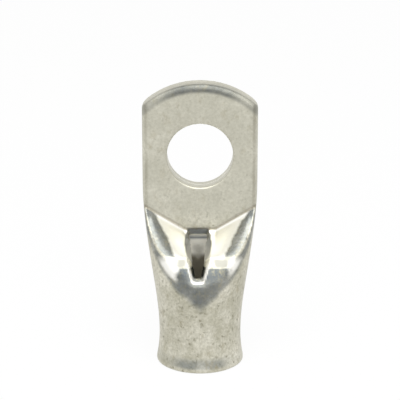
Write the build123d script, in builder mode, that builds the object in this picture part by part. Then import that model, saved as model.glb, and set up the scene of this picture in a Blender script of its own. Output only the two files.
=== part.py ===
from build123d import *

import os
from math import atan2, cos, hypot, radians, sin, sqrt, tan

# Tinned copper tube lug for a heavy cable and a 10 mm stud, in millimetres.

# It is one piece: a copper tube, flared at its mouth, whose other end is pressed
# flat between a punch and an anvil. The punch leaves a V across the palm, two
# steep facets behind it and a wedge-shaped sight opening between them.
# The lug stands on its mouth. The origin is the centre of the mouth's rim, +Z runs
# up the barrel to the palm, and +Y points out of the palm's contact face.

# tube
tube_diameter = 13.0
wall = 1.65

# mouth, opened on a tapered mandrel
flare_height = 4.8
flare_step = 0.55
lip_radius = 0.45

# flattened palm
lug_length = 44.6
palm_width = 18.35
palm_fold_width = 0.85
palm_side_press = 0.03
palm_end_radius = 13.4
palm_corner_radius = 1.3
stud_hole_diameter = 10.5
stud_centre_from_end = 11.6
hole_edge_break = 0.2
end_roll_width = 1.1
end_roll_depth = 0.4

# stretch where the round tube turns into the flat palm
bore_end = 10.0
dip_lag = 1.3
palm_start = 28.8

# punch that presses the palm
v_tip_height = 20.8
v_tip_width = 4.6
v_arm_slope = 31.0
nose_chamfer = 0.5
facet_foot_height = 18.45
facet_foot_depth = -3.5
foot_facet_slope = 41.0

# sight opening, cut by a wedge-shaped chisel
sight_bottom = 14.7
sight_bottom_width = 1.2
sight_corner_radius = 0.5
sight_widest = 4.2
sight_widest_height = 19.4
sight_top_width = 3.2
sight_offset = -0.3
sight_sill_slope = 20.0
sight_ramp_slope = 50.0

tube_radius = tube_diameter / 2
bore_radius = tube_radius - wall
palm_half_width = palm_width / 2
contact_face = tube_radius
seam = contact_face - wall
palm_front = contact_face - 2 * wall
stud_height = lug_length - stud_centre_from_end
tool_reach = 2 * tube_diameter

# The tube's section is |x / a|^n + |y / b|^2 = 1, and n grows from the round
# barrel to the flat palm, whose folds come out as wide as palm_fold_width.
round_power = 2.0
palm_power = 6.0
points_per_quarter = 5
section_count = 10
fold_share = 1 - palm_fold_width / palm_half_width
palm_half_depth = wall / sqrt(1 - fold_share**palm_power)


def ease(height, start, end, lag=1.0):
    """Runs smoothly from 0 at start to 1 at end. A lag above 1 holds it back."""
    share = min(max((height - start) / (end - start), 0.0), 1.0) ** lag
    return share * share * (3 - 2 * share)


def round_top(inset):
    """The height up to which the tube, or its bore inset by a wall, stays round."""
    return bore_end if inset else flare_height


def tube_section(height, inset=0.0):
    """The tube's outline at a height before the punch, or its bore's, inset by a wall."""
    spread = ease(height, round_top(inset), palm_start)
    growth = palm_half_width + palm_side_press - tube_radius
    half_width = tube_radius + growth * spread - inset
    dip = ease(height, bore_end, palm_start, dip_lag)
    front = -tube_radius + (seam - palm_half_depth + tube_radius) * dip + inset
    back = tube_radius + (palm_half_depth - wall) * dip - inset
    half_depth = (back - front) / 2
    power = round_power + (palm_power - round_power) * ease(height, bore_end, palm_start)
    points = []
    for step in range(4 * points_per_quarter):
        quarter, part = divmod(step, points_per_quarter)
        angle = radians(90 * part / points_per_quarter)
        along, across = cos(angle), sin(angle)
        if quarter % 2:
            along, across = across, along
        side = 1 if quarter in (0, 3) else -1
        rise = 1 if quarter < 2 else -1
        x = side * half_width * along ** (2 / power)
        y = (front + back) / 2 + rise * half_depth * across
        points.append((x, y))
    with BuildSketch(Plane.XY.offset(height)) as outline:
        if height > round_top(inset):
            with BuildLine():
                Spline(points, periodic=True)
            make_face()
        else:
            Circle(tube_radius - inset)
    return outline.sketch


def tube_form(inset=0.0):
    """The tube's outer form, or its bore's, from where it stops being round."""
    start = round_top(inset)
    step = (palm_start - start) / (section_count - 1)
    with BuildPart() as form:
        loft([tube_section(start + step * i, inset) for i in range(section_count)])
        extrude(tube_section(palm_start, inset), amount=lug_length - palm_start + wall)
    return form.part


def punch_outline(depth, tip_height, arm_slope):
    """The punch's outline at one depth: a flat-tipped V, closed above the lug."""
    half_tip = v_tip_width / 2
    rise = (tool_reach - half_tip) * tan(radians(arm_slope))
    top = lug_length + tool_reach
    with BuildSketch(Plane.XZ.offset(-depth)) as outline:
        with BuildLine():
            Polyline(
                (-half_tip, tip_height),
                (half_tip, tip_height),
                (tool_reach, tip_height + rise),
                (tool_reach, top + rise),
                (-tool_reach, top + rise),
                (-tool_reach, tip_height + rise),
                close=True,
            )
        make_face()
    return outline.sketch


def punch_form(skin=0.0):
    """The punch, or the space that it leaves inside a wall as thick as skin."""
    run = palm_front - facet_foot_depth
    climb = v_tip_height - nose_chamfer - facet_foot_height
    facet_angle = atan2(climb, run)
    foot_angle = radians(90 - foot_facet_slope)
    half_turn = (foot_angle - facet_angle) / 2
    reach = skin / cos(half_turn)
    foot_depth = facet_foot_depth + reach * sin(facet_angle + half_turn)
    foot_height = facet_foot_height - reach * cos(facet_angle + half_turn)
    tip_depth = palm_front + skin
    tip_height = v_tip_height + skin * (climb - hypot(climb, run)) / run
    chamfer_depth = tip_depth - nose_chamfer
    chamfer_height = tip_height - nose_chamfer
    far_height = foot_height - (foot_depth + tool_reach) * tan(foot_angle)
    tip = punch_outline(tip_depth, tip_height, v_arm_slope)
    chamfer_end = punch_outline(chamfer_depth, chamfer_height, v_arm_slope)
    foot = punch_outline(foot_depth, foot_height, 0)
    far_end = punch_outline(-tool_reach, far_height, 0)
    with BuildPart() as form:
        loft([tip, chamfer_end], ruled=True)
        loft([chamfer_end, foot], ruled=True)
        loft([foot, far_end], ruled=True)
    return form.part


# The barrel's mouth, flared inside and out by the mandrel, turned about the axis.
with BuildPart() as mouth:
    with BuildSketch(Plane.XZ) as mouth_profile:
        with BuildLine():
            flare_radius = (flare_height**2 + flare_step**2) / (2 * flare_step)
            rim_radius = tube_radius + flare_step
            rim_bore = bore_radius + flare_step
            RadiusArc((tube_radius, flare_height), (rim_radius, 0), -flare_radius)
            Line((rim_radius, 0), (rim_bore, 0))
            RadiusArc((rim_bore, 0), (bore_radius, flare_height), flare_radius)
            Line((bore_radius, flare_height), (tube_radius, flare_height))
        make_face()
        fillet(mouth_profile.vertices().group_by(Axis.Y)[0], lip_radius)
    revolve(axis=Axis.Z)

# The palm's outline seen from the front: straight sides under an arc.
arc_rise = palm_end_radius - sqrt(palm_end_radius**2 - palm_half_width**2)
palm_corner_height = lug_length - arc_rise
with BuildPart() as palm_trim:
    with BuildSketch(Plane.XZ) as palm_outline:
        with BuildLine():
            left_corner = (-palm_half_width, palm_corner_height)
            right_corner = (palm_half_width, palm_corner_height)
            RadiusArc(left_corner, right_corner, palm_end_radius)
            Polyline(right_corner, (palm_half_width, 0), (-palm_half_width, 0), left_corner)
        make_face()
        fillet(palm_outline.vertices().group_by(Axis.Y)[-1], palm_corner_radius)
    extrude(amount=tool_reach, both=True)

# The shallow roll that shearing leaves along the palm's front top edge.
with BuildPart() as end_roll:
    with BuildSketch(Plane.YZ):
        with BuildLine():
            roll_start = (palm_front, lug_length - end_roll_width)
            roll_end = (palm_front + end_roll_depth, lug_length)
            TangentArc(roll_start, roll_end, tangent=(0, 1))
            Polyline(
                roll_end,
                (palm_front + end_roll_depth, lug_length + wall),
                (palm_front - wall, lug_length + wall),
                (palm_front - wall, lug_length - end_roll_width),
                roll_start,
            )
        make_face()
    palm_arc_centre = lug_length - palm_end_radius
    revolve(axis=Axis((0, 0, palm_arc_centre), (0, 1, 0)))
    split(bisect_by=Plane.XY.offset(palm_arc_centre), keep=Keep.TOP)

# The outer form: the tube, pressed between the punch and the flat anvil.
with BuildPart() as pressed:
    add(tube_form())
    add(punch_form(), mode=Mode.SUBTRACT)
    add(palm_trim.part, mode=Mode.INTERSECT)
    with BuildSketch(Plane.XZ.offset(-contact_face)):
        with Locations((0, lug_length)):
            Rectangle(2 * tool_reach, 2 * (lug_length - bore_end))
    extrude(amount=-tool_reach, mode=Mode.SUBTRACT)
    add(end_roll.part, mode=Mode.SUBTRACT)

# The bore, which the pressing closes to a seam at the palm.
with BuildPart() as cavity:
    with BuildSketch(Plane.XY.offset(flare_height)):
        Circle(bore_radius)
    extrude(amount=bore_end - flare_height)
    add(tube_form(wall))
    add(punch_form(wall), mode=Mode.SUBTRACT)
    with BuildSketch(Plane.XZ.offset(-seam)):
        Rectangle(2 * tool_reach, 2 * lug_length)
    extrude(amount=-tool_reach, mode=Mode.SUBTRACT)

# The chisel that opens the front wall: a wedge seen from the front, with a sloped
# sill below and a ramp above.
with BuildPart() as chisel:
    with BuildSketch(Plane.XZ) as chisel_front:
        with BuildLine():
            Polyline(
                (sight_offset - sight_bottom_width / 2, sight_bottom),
                (sight_offset + sight_bottom_width / 2, sight_bottom),
                (sight_offset + sight_widest / 2, sight_widest_height),
                (sight_offset + sight_top_width / 2, v_tip_height),
                (sight_offset - sight_top_width / 2, v_tip_height),
                (sight_offset - sight_widest / 2, sight_widest_height),
                close=True,
            )
        make_face()
        fillet(chisel_front.vertices().group_by(Axis.Y)[0], sight_corner_radius)
    extrude(amount=tool_reach, both=True)
    with BuildSketch(Plane.YZ) as chisel_side:
        with BuildLine():
            sill = tan(radians(sight_sill_slope))
            ramp = tan(radians(sight_ramp_slope))
            Polyline(
                (-tool_reach, sight_bottom - sill * (tool_reach - tube_radius)),
                (-bore_radius, sight_bottom + sill * wall),
                (seam, sight_bottom + sill * wall),
                (seam, v_tip_height - ramp * wall),
                (palm_front, v_tip_height),
                (palm_front, v_tip_height + tool_reach),
                (-tool_reach, v_tip_height + tool_reach),
                close=True,
            )
        make_face()
    extrude(amount=tool_reach, both=True, mode=Mode.INTERSECT)

# The lug: the pressed form, hollowed by the bore and the sight opening, with the
# stud hole punched through the palm and the flared mouth below.
with BuildPart() as cable_lug:
    add(pressed.part)
    add(cavity.part, mode=Mode.SUBTRACT)
    add(chisel.part, mode=Mode.SUBTRACT)
    with BuildSketch(Plane.XZ.offset(-contact_face)):
        with Locations((0, stud_height)):
            Circle(stud_hole_diameter / 2)
    extrude(amount=3 * wall, mode=Mode.SUBTRACT)
    hole_edges = cable_lug.edges(Select.LAST).filter_by(GeomType.CIRCLE)
    chamfer(hole_edges, hole_edge_break)
    add(mouth.part)

cable_lug.part.label = "cable_lug"
os.makedirs("parts", exist_ok=True)
export_step(cable_lug.part, "parts/cable_lug.step")
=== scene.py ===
"""Tinned copper tube lug, standing on its mouth on a pale floor in plain studio light.

The lug is one closed form that Geometry Nodes builds from its sizes. The tube that turns
from round to flat, the punch that presses it, the bore, the sight opening and the stud
hole are distances in millimetres, and the lug is where they agree.
"""

from math import cos, radians, sin, sqrt, tan
from types import SimpleNamespace

import bpy
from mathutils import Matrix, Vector


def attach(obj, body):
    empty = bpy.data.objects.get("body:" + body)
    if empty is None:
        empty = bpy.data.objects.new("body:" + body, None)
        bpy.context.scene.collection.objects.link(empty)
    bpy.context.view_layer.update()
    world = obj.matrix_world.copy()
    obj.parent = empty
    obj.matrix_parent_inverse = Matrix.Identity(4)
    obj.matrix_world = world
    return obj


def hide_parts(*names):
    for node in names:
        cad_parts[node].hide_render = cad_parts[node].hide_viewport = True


bl_info = {
    "name": "Tinned Cable Lug",
    "version": (1, 0, 0),
    "blender": (4, 5, 0),
    "location": "3D View > Sidebar > Cable Lug",
    "description": "Builds a tinned copper tube lug and a plain studio around it",
    "category": "Add Mesh",
}

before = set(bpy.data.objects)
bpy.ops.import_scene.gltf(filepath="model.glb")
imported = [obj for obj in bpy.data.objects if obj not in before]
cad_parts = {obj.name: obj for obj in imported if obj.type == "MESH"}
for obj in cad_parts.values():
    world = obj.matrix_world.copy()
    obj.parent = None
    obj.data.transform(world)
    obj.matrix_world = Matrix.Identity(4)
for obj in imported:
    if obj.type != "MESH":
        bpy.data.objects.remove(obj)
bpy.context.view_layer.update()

MM = 0.001
LUG_NODE = "cable_lug"

# finer forms of the lug, in millimetres
SIDE_TRIM = 0.03            # pressed out past each side of the palm, and cut off
ROOF_GAP = 0.1              # that the bore's roof lies deeper than a wall under the palm
END_ROLL_LENGTH = 1.1       # how far in the palm's sheared end is rolled over
END_ROLL_DEPTH = 0.4
CORNER_ROLL = 0.55          # between the palm's end and its sides
PALM_EDGE_ROLL = 0.25
TRIM_EDGE_ROLL = 0.2
HOLE_EDGE_ROLL = 0.3
MOUTH_EDGE_ROLL = 0.8
SILL_ROLL = 0.7
CUT_EDGE_ROLL = 0.12        # of the sight opening's edge, apart from its bent rim
BENT_RIM_FADE = (2.1, 3.9)  # above the sill, from the full bent rim to none
OPENING_TAPER = 0.42        # how much each side closes for each millimetre of depth
SILL_SLOPE = radians(20)
RAMP_SLOPE = radians(50)
PALM_SQUARENESS = 6.0       # exponent of the flat section's outline, where 2 is an ellipse
LEAST_SLOPE = 0.05          # keeps a section's distance finite at its centre

# Marks of the making, and painted light and shade. A pair is where a mark starts and where it
# is full, or the other way round, in millimetres from the place that the line using it names.
FACET_BORDER = (-1 / 6, 1 / 6)
PRESSED_DEPTH = (-0.25, -0.25 + 1 / 6)
BORE_SKIN = (-0.3, -0.05)
BELOW_SKIN = (0.4, 0.9)
WANDER_SCALE = 500.0        # per metre, so borders wander over 2 mm
WANDER = 2.4                # and how far, from one side to the other
LOBE_HALF_WIDTH = 4.4       # of a bright lobe, burnished and painted brighter as sheen, at LOBE_LEVEL above the facets' foot
LOBE_LEVEL = 0.71
LOBE_LEAN = 0.67
LOBE_FADE = (-0.25, 0.15)
OVAL_ASIDE = 3.6            # centre and radii of the two oval press marks
OVAL_LEVEL = -0.7
OVAL_HALF_WIDTH = 1.5
OVAL_HALF_HEIGHT = 0.8
OVAL_FADE = (0.75, 1.15)
WEDGE_TIP = -8.05           # lowest point of the painted dark wedge under the opening
WEDGE_LEAN = 0.7
WEDGE_FADE = (-1.2, 1.0)
WEDGE_REACH_FADE = (-1.0, 2.8)
BAND_TOP = (-1.6, -1.3)     # the painted dark wedge stops under the ovals
MIDDLE_LEFT = (3.3, 4.2)
MIDDLE_RIGHT = (4.3, 5.6)
LEAST_REACH = 1.45          # how far the painted dark bands run out over the roll
MORE_REACH = 2.05
REACH_FADE = (-3.95, 1.05)
FACET_EDGE = (-0.2, 0.0)
OUTER_BAND = (0.15, 0.35)
LOWER_BAND = (0.7, 1.1)
STRIPE_START = (-0.5, -0.1)
FOOT_BAND = (0.2, 1.0)
FLARE_START = (0.5, 1.0)
FLARE_END = (1.6, 2.8)
FLARE_SIDES = (2.5, 5.5)
PALM_FACE_START = (-0.8, 3.2)
CREASE_WIDTH = (0.0, 0.3)
RIM_WIDTH = (0.2, 0.45)
RIM_DEPTH = (0.15, 0.4)
RIM_FOOT = (0.0, 0.25)
RIM_TOP = (2.3, 3.5)
END_BAND_START = (-0.1, 0.1)
END_BAND_END = (0.9, 1.5)
END_BAND_SIDES = (3.0, 7.5)
END_BAND_DEPTH = (0.9, 0.9 + 1 / 3)
CUT_SIDE_WIDTH = (0.0, 0.15)
CUT_SIDE_BACK = (-1.2, -0.2)
CUT_SIDE_FOOT = (0.9, 1.5)
DEEP_TOP = (0.5, 1.7)
DEEP_FRONT = (2.5, 3.5)
SILL_WIDTH = (0.25, 0.5)
SILL_DEPTH = (0.12, 0.32)
SILL_BACK = (2.0, 2.5)
FOLD_LINE_START = (0.3, 0.5)
FOLD_LINE_END = (0.7, 1.0)
FOLD_LINE_DEPTH = (0.2, 0.6)
RAMP_WIDTH = (0.0, 0.2)
RAMP_FRONT = (-0.3, 0.0)
RAMP_EDGE = (0.2, 0.3)
SEAMED_END = (0.05, 0.3)
SEAMED_HOLE = (0.05, 0.4)

# Each mark's colour, its share over the plate, and the part of that share that is left
# where the plate's patches are brightest. They are laid in this order.
MARK_TONES = {
    "palm_face": ("#CBC9BB", 0.85, 0.6),
    "fold_line": ("#857F6C", 0.55, 0.1),
    # painted dark reflection in a band round the flared mouth
    "flare": ("#82888A", 0.8, 0.45),
    # painted dark reflections in bands round the facets and under the opening
    "dark_reflection_bands": ("#70767A", 0.92, 0.6),
    # painted dark reflection over the foot facets and the wedge under the opening
    "foot_dark_reflection": ("#50565B", 1.0, 1.0),
    "oval": ("#98978E", 1.0, 1.0),
    # burnished lobes, painted near white as sheen
    "burnish_and_sheen": ("#FBFAF5", 1.0, 1.0),
    # painted highlight along the bent rim of the opening
    "bent_rim_highlight": ("#F6F4EC", 1.0, 1.0),
    # the bore's skin, near white so that its shaded inside reads lighter: painted light
    "inside": ("#FFFEF8", 1.0, 1.0),
    # painted shade low in the bore and along the opening's cut sides
    "deep": ("#8F8974", 0.85, 1.0),
    # painted shade on the ramp at the top of the sight opening
    "ramp_shade": ("#A4A9AC", 1.0, 1.0),
    "sill_face": ("#B9BAB4", 1.0, 1.0),
    # painted dark reflection on the palm's rolled end
    "end_dark_reflection": ("#454B50", 1.0, 0.6),
    # painted shade in the crease between the palm and the V's chamfer, with dark residue
    "crease": ("#5D5140", 0.8, 1.0),
}
# roughness of the plate's patches from dull to bright, and of the marks that change it
PLATE_ROUGHNESS = (0.34, 0.5)
MARK_ROUGHNESS = {"dark_reflection_bands": 0.26, "burnish_and_sheen": 0.3, "inside": 0.9}

# noises of the plate: cells per metre, detail and roughness
PLATE_NOISES = {
    "patches": (250.0, 6.0, 0.68),      # 4 mm
    "pits": (1300.0, 5.0, 0.6),         # 0.8 mm
    "stains": (850.0, 5.0, 0.7),        # 1.2 mm
    "speckle": (2400.0, 4.0, 0.65),     # 0.4 mm
    "grain": (3600.0, 3.0, 0.7),        # 0.3 mm
}
STAIN_STRETCH = (1.0, 1.0, 0.6)         # stains run a little longer along the tube
# the noise's level where a layer starts and where it is full, and the layer's full share
PATCH_LEVELS = (0.3, 0.7)
PIT_LEVELS = (0.58, 0.7)
PIT_SHARE = 0.85
STAIN_LEVELS = (0.55, 0.72)
STAIN_SHARE = 0.6
SPECKLE_LEVELS = (0.35, 0.65)
SPECKLE_SHARE = 0.34
PALM_SMOOTHNESS = 0.4                   # share of stains and speckle that the die ironed out
GRAIN_STRENGTH = 0.3
GRAIN_DEPTH = 0.05 * MM
# the hairline where the two walls of the flattened tube meet
SEAM_DEPTH = 4.85 * MM
SEAM_HALF_WIDTH = 0.06 * MM
SEAM_SHARE = 0.6

# soft lamps: place in metres, width and height
LAMPS = {
    "soft_top": ((0.0, -0.28, 0.6), 0.7, 0.5),
    "soft_front": ((0.1, -0.55, 0.42), 0.5, 0.3),
}
FLOOR_SIZE = 6.0
PAPER_GLOW = 0.92           # share of white light in the paper that the camera sees


def linear(code):
    """The linear RGBA of an sRGB hex colour."""
    channels = [int(code[i:i + 2], 16) / 255 for i in (1, 3, 5)]
    return [c / 12.92 if c <= 0.04045 else ((c + 0.055) / 1.055) ** 2.4 for c in channels] + [1]


class LugSizes(bpy.types.PropertyGroup):
    """Sizes of the lug."""

    tube_diameter: bpy.props.FloatProperty(
        name="Tube diameter", description="Outside of the round barrel",
        default=13.0 * MM, min=1 * MM, unit="LENGTH",
    )
    wall: bpy.props.FloatProperty(
        name="Wall", description="Thickness of the tube's wall",
        default=1.65 * MM, min=0.2 * MM, unit="LENGTH",
    )
    flare_height: bpy.props.FloatProperty(
        name="Flare height", description="Height of the opened mouth",
        default=4.8 * MM, min=0.1 * MM, unit="LENGTH",
    )
    flare_step: bpy.props.FloatProperty(
        name="Flare step", description="How far the mouth opens",
        default=0.55 * MM, min=0, unit="LENGTH",
    )
    lug_length: bpy.props.FloatProperty(
        name="Length", description="From the mouth to the palm's end",
        default=44.6 * MM, min=10 * MM, unit="LENGTH",
    )
    palm_width: bpy.props.FloatProperty(
        name="Palm width", description="Across the flat palm",
        default=18.35 * MM, min=2 * MM, unit="LENGTH",
    )
    palm_fold_width: bpy.props.FloatProperty(
        name="Fold width", description="How far the palm's folds reach in from its sides",
        default=0.85 * MM, unit="LENGTH",
    )
    palm_end_radius: bpy.props.FloatProperty(
        name="End radius", description="Radius of the palm's end",
        default=13.4 * MM, min=1 * MM, unit="LENGTH",
    )
    stud_hole: bpy.props.FloatProperty(
        name="Stud hole", description="Diameter of the hole in the palm",
        default=10.5 * MM, unit="LENGTH",
    )
    stud_from_end: bpy.props.FloatProperty(
        name="Stud from end", description="From the hole's centre to the palm's end",
        default=11.6 * MM, unit="LENGTH",
    )
    bore_end: bpy.props.FloatProperty(
        name="Bore end", description="Height at which the tube starts to flatten",
        default=10.0 * MM, unit="LENGTH",
    )
    dip_lag: bpy.props.FloatProperty(
        name="Dip lag", description="Above 1, the front wall sinks later", default=1.3, min=0.5,
    )
    palm_start: bpy.props.FloatProperty(
        name="Palm start", description="Height at which the tube is flat",
        default=28.8 * MM, unit="LENGTH",
    )
    tip_height: bpy.props.FloatProperty(
        name="V tip height", description="Height of the V's flat tip",
        default=20.8 * MM, unit="LENGTH",
    )
    tip_width: bpy.props.FloatProperty(
        name="V tip width", description="Width of the V's flat tip",
        default=4.6 * MM, unit="LENGTH",
    )
    arm_slope: bpy.props.FloatProperty(
        name="V arm slope", description="Slope of the V's arms",
        default=radians(31), subtype="ANGLE",
    )
    nose_chamfer: bpy.props.FloatProperty(
        name="Nose chamfer", description="Chamfer along the V",
        default=0.5 * MM, unit="LENGTH",
    )
    foot_height: bpy.props.FloatProperty(
        name="Facet foot height", description="Height of the facets' lower edge",
        default=18.45 * MM, unit="LENGTH",
    )
    foot_depth: bpy.props.FloatProperty(
        name="Facet foot depth", description="Y of the facets' lower edge",
        default=-3.5 * MM, unit="LENGTH",
    )
    foot_slope: bpy.props.FloatProperty(
        name="Foot slope", description="Slope of the foot facets",
        default=radians(41), subtype="ANGLE",
    )
    sight_bottom: bpy.props.FloatProperty(
        name="Opening bottom", description="Height of the sight opening's sill",
        default=14.7 * MM, unit="LENGTH",
    )
    sight_bottom_width: bpy.props.FloatProperty(
        name="Opening foot width", description="Width of the opening at its sill",
        default=1.2 * MM, unit="LENGTH",
    )
    sight_widest: bpy.props.FloatProperty(
        name="Opening width", description="Width of the opening where it is widest",
        default=4.2 * MM, unit="LENGTH",
    )
    sight_widest_height: bpy.props.FloatProperty(
        name="Widest height", description="Height at which the opening is widest",
        default=19.4 * MM, unit="LENGTH",
    )
    sight_top_width: bpy.props.FloatProperty(
        name="Opening top width", description="Width of the opening at the V",
        default=3.2 * MM, unit="LENGTH",
    )
    sight_offset: bpy.props.FloatProperty(
        name="Opening offset", description="Opening's centre off the middle",
        default=-0.3 * MM, unit="LENGTH",
    )
    facet_roll: bpy.props.FloatProperty(
        name="Facet roll", description="Width of the soft roll round the facets",
        default=1.5 * MM, unit="LENGTH",
    )
    rim_roll: bpy.props.FloatProperty(
        name="Rim roll", description="Width of the bent rim of the opening",
        default=0.75 * MM, unit="LENGTH",
    )
    voxel: bpy.props.FloatProperty(
        name="Voxel", description="Grid step of the built form",
        default=0.22 * MM, min=0.1 * MM, unit="LENGTH",
    )


class PlateColors(bpy.types.PropertyGroup):
    """Colours of the untouched tin plate."""

    dull: bpy.props.FloatVectorProperty(
        name="Dull plate", description="Darker patches", subtype="COLOR", size=4,
        default=linear("#B9B6A2"),
    )
    bright: bpy.props.FloatVectorProperty(
        name="Bright plate", description="Lighter patches", subtype="COLOR", size=4,
        default=linear("#EBE8DA"),
    )
    pits: bpy.props.FloatVectorProperty(
        name="Pits", description="Small dark pits", subtype="COLOR", size=4,
        default=linear("#8F8B78"),
    )
    stains: bpy.props.FloatVectorProperty(
        name="Stains", description="Small warm stains", subtype="COLOR", size=4,
        default=linear("#A1987A"),
    )
    speckle: bpy.props.FloatVectorProperty(
        name="Speckle", description="Fine speckle all over", subtype="COLOR", size=4,
        default=linear("#77745F"),
    )
    seam: bpy.props.FloatVectorProperty(
        name="Seam", description="Hairline between the palm's two walls", subtype="COLOR",
        size=4, default=linear("#6E675A"),
    )


class StudioSettings(bpy.types.PropertyGroup):
    """Camera, floor and lamps."""

    camera_distance: bpy.props.FloatProperty(
        name="Camera distance", description="From the point looked at",
        default=0.2863, unit="LENGTH",
    )
    camera_elevation: bpy.props.FloatProperty(
        name="Camera elevation", description="Above the horizon",
        default=radians(18.5), subtype="ANGLE",
    )
    target_height: bpy.props.FloatProperty(
        name="Target height", description="Height looked at", default=0.02679, unit="LENGTH",
    )
    lens: bpy.props.FloatProperty(
        name="Lens", description="Focal length in millimetres", default=163.9, unit="CAMERA",
    )
    key_power: bpy.props.FloatProperty(
        name="Key power", description="Overhead soft lamp", default=2.6, unit="POWER",
    )
    front_power: bpy.props.FloatProperty(
        name="Front power", description="Soft lamp before the lug", default=0.9, unit="POWER",
    )
    world_strength: bpy.props.FloatProperty(
        name="World strength", description="Light from all around", default=0.55,
    )
    floor_color: bpy.props.FloatVectorProperty(
        name="Floor colour", description="Paper of the floor", subtype="COLOR", size=4,
        default=(0.95, 0.95, 0.95, 1.0),
    )


def add_node(tree, kind, inputs=None, **settings):
    """Adds a node, sets its settings, and sets or links its inputs."""
    node = tree.nodes.new(kind)
    for name, value in settings.items():
        setattr(node, name, value)
    for key, value in (inputs or {}).items():
        if isinstance(value, bpy.types.NodeSocket):
            tree.links.new(value, node.inputs[key])
        elif isinstance(value, Term):
            tree.links.new(value.socket, node.inputs[key])
        else:
            node.inputs[key].default_value = value
    return node


class Term:
    """A number on a node's socket, so that a rule reads as a formula."""

    def __init__(self, tree, socket):
        self.tree = tree
        self.socket = socket

    def calc(self, operation, *others):
        terms = dict(enumerate((self, *others)))
        node = add_node(self.tree, "ShaderNodeMath", terms, operation=operation)
        return Term(self.tree, node.outputs[0])

    def __add__(self, other):
        return self.calc("ADD", other)

    def __sub__(self, other):
        return self.calc("SUBTRACT", other)

    def __rsub__(self, other):
        return -self + other

    def __neg__(self):
        return self.calc("MULTIPLY", -1.0)

    def __abs__(self):
        return self.calc("ABSOLUTE")

    def __mul__(self, other):
        return self.calc("MULTIPLY", other)

    def __truediv__(self, other):
        return self.calc("DIVIDE", other)

    def __pow__(self, other):
        return self.calc("POWER", other)

    __radd__ = __add__
    __rmul__ = __mul__

    def root(self):
        return self.calc("SQRT")

    def within(self, low, high):
        return self.calc("MAXIMUM", low).calc("MINIMUM", high)

    def rise(self, start, end):
        """Runs evenly from 0 at start to 1 at end."""
        return ((self - start) / (end - start)).within(0.0, 1.0)

    def ease(self, start, end, lag=1.0):
        """Runs smoothly from 0 at start to 1 at end. A lag above 1 holds it back."""
        share = self.rise(start, end) ** lag
        return share * share * (3.0 - 2.0 * share)

    def shared(self, other, roll=None):
        """Where both distances are positive, with the edge rolled over that width."""
        if roll is None:
            return self.calc("MINIMUM", other)
        return self.calc("SMOOTH_MIN", other, roll)

    def joined(self, other):
        """Where either distance is positive, or the stronger of two marks."""
        return self.calc("MAXIMUM", other)


def tube_distance(x, y, z, s, inset):
    """Distance into the unpressed tube, or into its bore, inset by a wall."""
    radius = s["Tube diameter"] * 0.5
    half_palm = s["Palm width"] * 0.5
    fold = 1.0 - s["Fold width"] / half_palm
    palm_depth = s["Wall"] / (1.0 - fold ** PALM_SQUARENESS).root()
    flat = z.ease(s["Bore end"], s["Palm start"])
    spread = flat if inset else z.ease(s["Flare height"], s["Palm start"])
    dip = z.ease(s["Bore end"], s["Palm start"], s["Dip lag"])
    arc = s["Flare height"] * s["Flare height"] / s["Flare step"]
    below = (s["Flare height"] - z).joined(0.0)
    flare = below * below / arc
    if inset:
        flare = flare - s["Wall"]
    half_width = radius + (half_palm + SIDE_TRIM - radius) * spread + flare
    seam = radius - s["Wall"]
    front = (seam - palm_depth + radius) * dip - radius - flare
    back = radius + (palm_depth - s["Wall"]) * dip + flare
    half_depth = (back - front) * 0.5
    power = 2.0 + (PALM_SQUARENESS - 2.0) * flat
    u = abs(x) / half_width
    v = (y - (front + back) * 0.5) / half_depth
    gone = u ** power + v * v
    slope_x = power * u ** (power - 1.0) / half_width
    slope_y = 2.0 * v / half_depth
    slope = (slope_x * slope_x + slope_y * slope_y).root().joined(LEAST_SLOPE)
    return (1.0 - gone) / slope


def punch_distances(x, y, z, s, palm_plane):
    """Distances behind the V's chamfer, the steep facets and the foot facets."""
    arm = (abs(x) - s["V tip width"] * 0.5).joined(0.0)
    v_line = s["V tip height"] + arm * s["V arm slope"].calc("TANGENT")
    chamfer = s["Nose chamfer"]
    behind_chamfer = (y - palm_plane - z + v_line) * sqrt(0.5)
    slope = (palm_plane - chamfer - s["Facet foot depth"]) / (
        v_line - chamfer - s["Facet foot height"]
    )
    facet_y = palm_plane - chamfer + (z - v_line + chamfer) * slope
    behind_facet = (y - facet_y) / (1.0 + slope * slope).root()
    foot_slope = s["Foot slope"].calc("TANGENT")
    foot_y = s["Facet foot depth"] - (s["Facet foot height"] - z) * foot_slope
    behind_foot = (y - foot_y) * s["Foot slope"].calc("COSINE")
    return behind_chamfer, behind_facet, behind_foot


def opening_distances(x, y, z, s, body, radius, palm_plane):
    """Distances into the sight opening from its sides, its sill and its ramp."""
    bottom, widest, top = s["Opening bottom"], s["Widest height"], s["V tip height"]
    off = abs(x - s["Opening offset"]) + OPENING_TAPER * body.within(0.0, s["Wall"])
    low_lean = (s["Opening width"] - s["Opening foot width"]) * 0.5 / (widest - bottom)
    low_side = s["Opening foot width"] * 0.5 + (z - bottom) * low_lean - off
    high_lean = (s["Opening width"] - s["Opening top width"]) * 0.5 / (top - widest)
    high_side = s["Opening top width"] * 0.5 + (top - z) * high_lean - off
    sill = z - bottom - (y + radius).within(0.0, s["Wall"]) * tan(SILL_SLOPE)
    ramp = (top - (y - palm_plane) * tan(RAMP_SLOPE) - z) * cos(RAMP_SLOPE)
    return low_side.shared(high_side), sill, ramp


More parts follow.
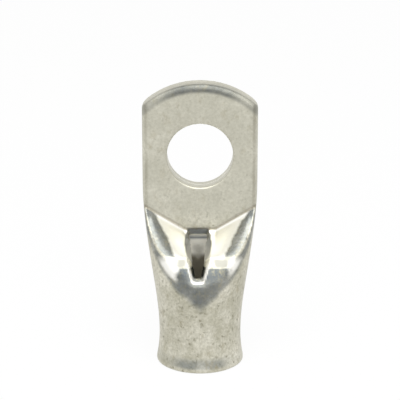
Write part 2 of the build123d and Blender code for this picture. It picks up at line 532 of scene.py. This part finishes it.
def lug_form(x, y, z, s):
    """The lug as distances, each positive inside what it is named for."""
    radius = s["Tube diameter"] * 0.5
    seam = radius - s["Wall"]
    palm_plane = radius - 2.0 * s["Wall"]
    outer = tube_distance(x, y, z, s, False)
    bore = tube_distance(x, y, z, s, True)

    # palm's end, with the shallow roll that shearing leaves on its front edge
    up = (z - s["Length"] + s["End radius"]).joined(0.0)
    end = s["End radius"] - (x * x + up * up).root()
    side = s["Palm width"] * 0.5 - abs(x)
    rolled = 1.0 - end.rise(0.0, END_ROLL_LENGTH)
    palm = y - palm_plane - END_ROLL_DEPTH * rolled * rolled

    chamfer, facet, foot = punch_distances(x, y, z, s, palm_plane)
    facets = facet.shared(foot)
    palm_part = outer.shared(palm.joined(chamfer), PALM_EDGE_ROLL)
    facet_part = outer.shared(facets, s["Facet roll"])
    back = radius - y + (s["Bore end"] - z).joined(0.0)
    body = palm_part.joined(facet_part)
    body = body.shared(side.shared(end, CORNER_ROLL), TRIM_EDGE_ROLL)
    body = body.shared(back, TRIM_EDGE_ROLL)

    roof = (y - palm_plane - ROOF_GAP).joined(chamfer).joined(facets) - s["Wall"]
    hollow = bore.shared(roof).shared(seam - y)

    sides, sill, ramp = opening_distances(x, y, z, s, body, radius, palm_plane)
    cut = sides.shared(sill, SILL_ROLL).shared(ramp).shared(seam - y)
    bent = 1.0 - (z - s["Opening bottom"]).ease(*BENT_RIM_FADE)
    opened = body.shared(-hollow).shared(-cut, CUT_EDGE_ROLL + s["Rim roll"] * bent)

    hole_z = z - s["Length"] + s["Stud from end"]
    hole = (x * x + hole_z * hole_z).root() - s["Stud hole"] * 0.5
    metal = opened.shared(hole, HOLE_EDGE_ROLL).shared(z, MOUTH_EDGE_ROLL)
    return SimpleNamespace(
        radius=radius, palm_plane=palm_plane, outer=outer, end=end, side=side, palm=palm,
        chamfer=chamfer, facet=facet, foot=foot, facets=facets, body=body, hollow=hollow,
        sides=sides, sill=sill, ramp=ramp, cut=cut, hole=hole, metal=metal,
    )


def skin_marks(tree, position, x, y, z, s, form):
    """The marks on the lug's skin, of the making and of painted light and shade, each from 0 to 1.
    """
    noise = add_node(
        tree, "ShaderNodeTexNoise",
        {"Vector": position, "Scale": WANDER_SCALE, "Detail": 4.0, "Roughness": 0.6},
    )
    wander = (Term(tree, noise.outputs["Fac"]) - 0.5) * WANDER
    aside = abs(x)
    above_foot = z - s["Facet foot height"]
    above_sill = z - s["Opening bottom"]
    behind_front = y + form.radius
    behind_palm = y - form.palm_plane
    over_roll = form.facets - form.outer

    inside = form.hollow.rise(*BORE_SKIN) * form.body.rise(*BELOW_SKIN)
    shown = (1.0 - behind_palm.rise(*PRESSED_DEPTH)) * (1.0 - inside)
    upper = (form.foot - form.facet).rise(*FACET_BORDER)
    lower = 1.0 - upper
    palm_face = (z - s["V tip height"]).ease(*PALM_FACE_START)

    # bright lobes on the steep facets, burnished and painted near white as sheen, and ovals where
    # the punch's foot pressed hardest
    lobe_edge = aside - LOBE_HALF_WIDTH - LOBE_LEAN * (above_foot - LOBE_LEVEL) + 0.5 * wander
    off_lobe = lobe_edge.ease(*LOBE_FADE)
    oval_x = (aside - OVAL_ASIDE) / OVAL_HALF_WIDTH
    oval_z = (above_foot - OVAL_LEVEL) / OVAL_HALF_HEIGHT
    off_oval = (oval_x * oval_x + oval_z * oval_z + 0.6 * wander).ease(*OVAL_FADE)

    # painted dark reflections: bands round the facets, and the foot and wedge under the opening
    off_wedge = aside - WEDGE_LEAN * (above_foot - WEDGE_TIP) + wander
    low_reach = (1.0 - above_foot.ease(*REACH_FADE)) * (1.0 - off_wedge.ease(*WEDGE_REACH_FADE))
    reach = LEAST_REACH + MORE_REACH * low_reach
    fading = (over_roll / reach).ease(0.5, 1.0)
    middle = (wander - x).ease(*MIDDLE_LEFT).joined((x + wander).ease(*MIDDLE_RIGHT))
    middle = 1.0 - middle
    under_ovals = 1.0 - above_foot.ease(*BAND_TOP)
    below = under_ovals * middle
    upper_band = off_lobe - over_roll.ease(*FACET_EDGE)
    outer_band = over_roll.ease(*OUTER_BAND) - fading
    lower_edge = over_roll.ease(*LOWER_BAND)
    lower_band = below.joined(lower_edge) - fading
    stripe = lower * (1.0 - middle) * (over_roll.ease(*STRIPE_START) - lower_edge)
    # painted dark reflection on the foot facets under the ovals, and half of it in the wedge
    foot_dark_reflection = (below * (1.0 - over_roll.ease(*FOOT_BAND))).joined(
        0.5 * (1.0 - off_wedge.ease(*WEDGE_FADE))
    )

    # painted highlight on the bent rim, painted shade on the ramp and in the bore, and the
    # opening's inner faces
    near_cut = 1.0 - (-form.cut).ease(*RIM_WIDTH)
    rim_span = above_sill.ease(*RIM_FOOT) - above_sill.ease(*RIM_TOP)
    cut_side = 1.0 - abs(form.sides).rise(*CUT_SIDE_WIDTH)
    cut_side = cut_side * (1.0 - behind_palm.ease(*CUT_SIDE_BACK)) * above_sill.ease(*CUT_SIDE_FOOT)
    low_back = (1.0 - above_sill.ease(*DEEP_TOP)) * behind_front.ease(*DEEP_FRONT)
    sill_face = (1.0 - abs(form.sill).rise(*SILL_WIDTH)) * form.body.rise(*SILL_DEPTH)
    ramp_shade = (1.0 - abs(form.ramp).rise(*RAMP_WIDTH)) * (1.0 - abs(form.cut).rise(*RAMP_EDGE))

    # painted dark reflection on the palm's rolled end, and the lines along its folded sides
    end_band = form.end.ease(*END_BAND_START) - form.end.ease(*END_BAND_END)
    end_band = end_band * (1.0 - 0.5 * aside.ease(*END_BAND_SIDES))
    fold_line = form.side.ease(*FOLD_LINE_START) - form.side.ease(*FOLD_LINE_END)
    punched = 1.0 - form.hole.ease(*SEAMED_HOLE)
    flare_dark_band = z.ease(*FLARE_START) - z.ease(*FLARE_END)
    # painted dark reflections in the bands round the facets
    dark_reflection_bands = shown * (upper * (upper_band + outer_band) + lower * lower_band)

    return {
        "burnish_and_sheen": shown * (upper * (1.0 - off_lobe)).joined(0.85 * stripe),
        "oval": shown * lower * (1.0 - off_oval),
        "dark_reflection_bands": dark_reflection_bands.within(0.0, 1.0),
        "foot_dark_reflection": (shown * lower * under_ovals * foot_dark_reflection).within(0.0, 1.0),
        "inside": inside,
        "bent_rim_highlight": (near_cut * rim_span * (1.0 - form.body.rise(*RIM_DEPTH))).within(0.0, 1.0),
        # painted shade low in the bore and along the opening's cut sides
        "deep": inside * low_back.joined(0.7 * cut_side),
        "sill_face": sill_face * (1.0 - behind_front.ease(*SILL_BACK)),
        "ramp_shade": ramp_shade * behind_palm.ease(*RAMP_FRONT),
        "flare": (flare_dark_band * (1.0 - 0.8 * aside.ease(*FLARE_SIDES))).within(0.0, 1.0),
        "palm_face": palm_face,
        "crease": 1.0 - (abs(form.palm) + abs(form.chamfer)).rise(*CREASE_WIDTH),
        "end_dark_reflection": end_band * (1.0 - behind_palm.rise(*END_BAND_DEPTH)),
        "fold_line": palm_face * fold_line * (1.0 - behind_palm.ease(*FOLD_LINE_DEPTH)),
        "seamed": palm_face * (1.0 - form.end.ease(*SEAMED_END)).joined(punched),
    }


def lug_tree(sizes):
    """The node tree that turns the sizes, in millimetres and radians, into the lug's mesh."""
    tree = bpy.data.node_groups.new("Cable lug", "GeometryNodeTree")
    tree.interface.new_socket("Geometry", in_out="OUTPUT", socket_type="NodeSocketGeometry")
    for name in sizes:
        tree.interface.new_socket(name, in_out="INPUT", socket_type="NodeSocketFloat")
    tree.interface.new_socket("Material", in_out="INPUT", socket_type="NodeSocketMaterial")
    group = add_node(tree, "NodeGroupInput")
    s = {name: Term(tree, group.outputs[name]) for name in sizes}
    position = add_node(tree, "GeometryNodeInputPosition").outputs[0]
    place = add_node(tree, "ShaderNodeSeparateXYZ", {0: position})
    x, y, z = (Term(tree, place.outputs[i]) * (1 / MM) for i in range(3))
    form = lug_form(x, y, z, s)

    margin = 2 * sizes["Voxel"]
    half_x = (sizes["Palm width"] / 2 + margin) * MM
    half_y = (sizes["Tube diameter"] / 2 + sizes["Flare step"] + margin) * MM
    low = (-half_x, -half_y, -margin * MM)
    high = (half_x, half_y, (sizes["Length"] + margin) * MM)
    steps = [round((b - a) / (sizes["Voxel"] * MM)) + 1 for a, b in zip(low, high)]
    grid = add_node(
        tree, "GeometryNodeVolumeCube",
        {
            "Density": form.metal, "Background": -1.0, "Min": low, "Max": high,
            "Resolution X": steps[0], "Resolution Y": steps[1], "Resolution Z": steps[2],
        },
    )
    mesh = add_node(tree, "GeometryNodeVolumeToMesh", {"Volume": grid.outputs[0], "Threshold": 0.0})
    shape = mesh.outputs[0]
    for name, mark in skin_marks(tree, position, x, y, z, s, form).items():
        keep = add_node(
            tree, "GeometryNodeStoreNamedAttribute",
            {"Geometry": shape, "Name": name, "Value": mark},
            data_type="FLOAT", domain="POINT",
        )
        shape = keep.outputs[0]
    smooth = add_node(tree, "GeometryNodeSetShadeSmooth", {"Geometry": shape})
    real = add_node(tree, "GeometryNodeRealizeInstances", {"Geometry": smooth.outputs[0]})
    finish = add_node(
        tree, "GeometryNodeSetMaterial",
        {"Geometry": real.outputs[0], "Material": group.outputs["Material"]},
    )
    add_node(tree, "NodeGroupOutput", {0: finish.outputs[0]})
    return tree


def tinned_copper(plate):
    """Tin plate on copper: a warm pale grey, matte where untouched, bright where pressed, with
    painted sheen, highlight, shade and dark reflections laid over it.
    """
    material = bpy.data.materials.new("Tinned copper")
    material.use_nodes = True
    tree = material.node_tree
    tree.nodes.clear()
    where = add_node(tree, "ShaderNodeTexCoord").outputs["Object"]
    along = add_node(tree, "ShaderNodeMapping", {"Vector": where, "Scale": STAIN_STRETCH})
    noise = {}
    for name, (scale, detail, roughness) in PLATE_NOISES.items():
        vector = along.outputs[0] if name == "stains" else where
        node = add_node(
            tree, "ShaderNodeTexNoise",
            {"Vector": vector, "Scale": scale, "Detail": detail, "Roughness": roughness},
        )
        noise[name] = Term(tree, node.outputs["Fac"])
    mark = {}
    for name in (*MARK_TONES, "seamed"):
        node = add_node(tree, "ShaderNodeAttribute", attribute_name=name)
        mark[name] = Term(tree, node.outputs["Fac"])

    # cloudy patches a few millimetres wide, as the plating dulls unevenly, then sparse pits
    patch = noise["patches"].rise(*PATCH_LEVELS)
    pits = PIT_SHARE * noise["pits"].rise(*PIT_LEVELS)
    layers = [(patch, plate.bright), (pits, plate.pits)]
    # each mark, of the making or of painted light and shade, has its own tone over the mottled
    # plate
    for name, (code, share, left) in MARK_TONES.items():
        layers.append((mark[name] * (share - share * (1.0 - left) * patch), linear(code)))
    # the two walls of the flattened tube meet in a hairline on the end and in the hole
    place = add_node(tree, "ShaderNodeSeparateXYZ", {0: where})
    depth = Term(tree, place.outputs["Y"])
    hairline = depth.calc("COMPARE", SEAM_DEPTH, SEAM_HALF_WIDTH) * mark["seamed"]
    layers.append((SEAM_SHARE * hairline, plate.seam))
    # stains and fine speckle keep off the burnished marks and the inside, and the die
    # leaves the palm a little smoother than the barrel
    clean = mark["burnish_and_sheen"].joined(mark["oval"]).joined(mark["inside"])
    matte = 1.0 - (clean + PALM_SMOOTHNESS * mark["palm_face"]).within(0.0, 1.0)
    stains = noise["stains"].rise(*STAIN_LEVELS)
    speckle = 1.0 - noise["speckle"].rise(*SPECKLE_LEVELS)
    layers.append((STAIN_SHARE * stains * matte, plate.stains))
    layers.append((SPECKLE_SHARE * speckle * matte, plate.speckle))
    color = plate.dull
    for share, layer in layers:
        mix = add_node(
            tree, "ShaderNodeMix", {"Factor": share, "A": color, "B": layer}, data_type="RGBA"
        )
        color = mix.outputs["Result"]

    # soft all over, sharper on the bright lobes and the painted dark bands, and dull inside
    least, most = PLATE_ROUGHNESS
    rough = least + (most - least) * noise["patches"]
    for name, target in MARK_ROUGHNESS.items():
        rough = rough + (target - rough) * mark[name]
    bump = add_node(
        tree, "ShaderNodeBump",
        {"Strength": GRAIN_STRENGTH, "Distance": GRAIN_DEPTH, "Height": noise["grain"]},
    )
    metal = add_node(
        tree, "ShaderNodeBsdfPrincipled",
        {"Base Color": color, "Metallic": 1.0, "Roughness": rough, "Normal": bump.outputs[0]},
    )
    add_node(tree, "ShaderNodeOutputMaterial", {"Surface": metal.outputs[0]})
    return material


def seen_light(tree):
    """1 on the camera's own rays and on mirrored or transmitted ones, and 0 on others."""
    path = add_node(tree, "ShaderNodeLightPath")
    seen = Term(tree, path.outputs["Is Camera Ray"]).joined(path.outputs["Is Glossy Ray"])
    return seen.joined(path.outputs["Is Transmission Ray"])


def floor_paper(color):
    """White matte paper that still takes the lug's soft shadow."""
    material = bpy.data.materials.new("Floor paper")
    material.use_nodes = True
    tree = material.node_tree
    tree.nodes.clear()
    paper = add_node(tree, "ShaderNodeBsdfPrincipled", {"Base Color": color, "Roughness": 0.9})
    white = add_node(tree, "ShaderNodeEmission", {"Color": (1.0, 1.0, 1.0, 1.0), "Strength": 1.0})
    mix = add_node(
        tree, "ShaderNodeMixShader",
        {0: PAPER_GLOW * seen_light(tree), 1: paper.outputs[0], 2: white.outputs[0]},
    )
    add_node(tree, "ShaderNodeOutputMaterial", {"Surface": mix.outputs[0]})
    return material


def studio_world(strength):
    """White all around to the eye and in the metal, and a plain soft light."""
    world = bpy.data.worlds.new("Studio")
    world.use_nodes = True
    tree = world.node_tree
    tree.nodes.clear()
    level = strength + (1.0 - strength) * seen_light(tree)
    light = add_node(
        tree, "ShaderNodeBackground", {"Color": (1.0, 1.0, 1.0, 1.0), "Strength": level}
    )
    add_node(tree, "ShaderNodeOutputWorld", {"Surface": light.outputs[0]})
    return world


class LUG_OT_build(bpy.types.Operator):
    """Build the cable lug from its sizes"""

    bl_idname = "lug.build"
    bl_label = "Build lug"

    def execute(self, context):
        settings = context.scene.lug_sizes
        sizes = {}
        for item in settings.bl_rna.properties:
            if item.type == "FLOAT":
                value = getattr(settings, item.identifier)
                sizes[item.name] = value / MM if item.unit == "LENGTH" else value
        tree = lug_tree(sizes)
        lug = bpy.data.objects.new("lug_body", bpy.data.meshes.new("lug_body"))
        context.scene.collection.objects.link(lug)
        modifier = lug.modifiers.new("Lug form", "NODES")
        modifier.node_group = tree
        values = {**sizes, "Material": tinned_copper(context.scene.lug_plate)}
        for item in tree.interface.items_tree:
            if item.in_out == "INPUT":
                modifier[item.identifier] = values[item.name]
        evaluated = lug.evaluated_get(context.evaluated_depsgraph_get())
        made = bpy.data.meshes.new_from_object(evaluated)
        if not made.polygons:
            raise RuntimeError("The lug's form came out empty")
        lug.modifiers.remove(modifier)
        lug.data = made
        made.name = "lug_body"
        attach(lug, "root")
        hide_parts(LUG_NODE)
        return {"FINISHED"}


class LUG_OT_stage(bpy.types.Operator):
    """Set up the floor, the lamps, the world and the camera"""

    bl_idname = "lug.stage"
    bl_label = "Set up studio"

    def execute(self, context):
        studio = context.scene.lug_studio
        bpy.ops.mesh.primitive_plane_add(size=FLOOR_SIZE, location=(0, 0, 0))
        floor = context.object
        floor.name = "floor"
        floor.data.materials.append(floor_paper(studio.floor_color))

        target = Vector((0, 0, studio.target_height))
        powers = {"soft_top": studio.key_power, "soft_front": studio.front_power}
        for name, (location, width, height) in LAMPS.items():
            lamp_data = bpy.data.lights.new(name, "AREA")
            lamp_data.shape = "RECTANGLE"
            lamp_data.size = width
            lamp_data.size_y = height
            lamp_data.energy = powers[name]
            lamp = bpy.data.objects.new(name, lamp_data)
            lamp.location = location
            aim = target - lamp.location
            lamp.rotation_euler = aim.to_track_quat("-Z", "Y").to_euler()
            context.scene.collection.objects.link(lamp)

        context.scene.world = studio_world(studio.world_strength)
        context.scene.view_settings.view_transform = "Standard"

        camera_data = bpy.data.cameras.new("camera")
        camera_data.lens = studio.lens
        camera_data.sensor_width = 36.0
        camera_data.clip_start = 0.01
        camera_data.clip_end = 20.0
        camera = bpy.data.objects.new("camera", camera_data)
        tilt = studio.camera_elevation
        back = Vector((0, -cos(tilt), sin(tilt)))
        camera.location = target + back * studio.camera_distance
        camera.rotation_euler = (-back).to_track_quat("-Z", "Y").to_euler()
        context.scene.collection.objects.link(camera)
        context.scene.camera = camera
        return {"FINISHED"}


class LUG_PT_panel(bpy.types.Panel):
    """Cable lug in the 3D view's sidebar"""

    bl_label = "Cable Lug"
    bl_idname = "LUG_PT_panel"
    bl_space_type = "VIEW_3D"
    bl_region_type = "UI"
    bl_category = "Cable Lug"

    def draw(self, context):
        layout = self.layout
        scene = context.scene
        for group in (scene.lug_sizes, scene.lug_plate, scene.lug_studio):
            box = layout.box()
            for item in group.bl_rna.properties:
                if item.type == "FLOAT":
                    box.prop(group, item.identifier)
        layout.operator(LUG_OT_build.bl_idname)
        layout.operator(LUG_OT_stage.bl_idname)


CLASSES = (LugSizes, PlateColors, StudioSettings, LUG_OT_build, LUG_OT_stage, LUG_PT_panel)


def register():
    for item in CLASSES:
        bpy.utils.register_class(item)
    bpy.types.Scene.lug_sizes = bpy.props.PointerProperty(type=LugSizes)
    bpy.types.Scene.lug_plate = bpy.props.PointerProperty(type=PlateColors)
    bpy.types.Scene.lug_studio = bpy.props.PointerProperty(type=StudioSettings)


def unregister():
    del bpy.types.Scene.lug_studio
    del bpy.types.Scene.lug_plate
    del bpy.types.Scene.lug_sizes
    for item in reversed(CLASSES):
        bpy.utils.unregister_class(item)


def main():
    register()
    bpy.ops.lug.build()
    bpy.ops.lug.stage()


if __name__ == "__main__":
    main()
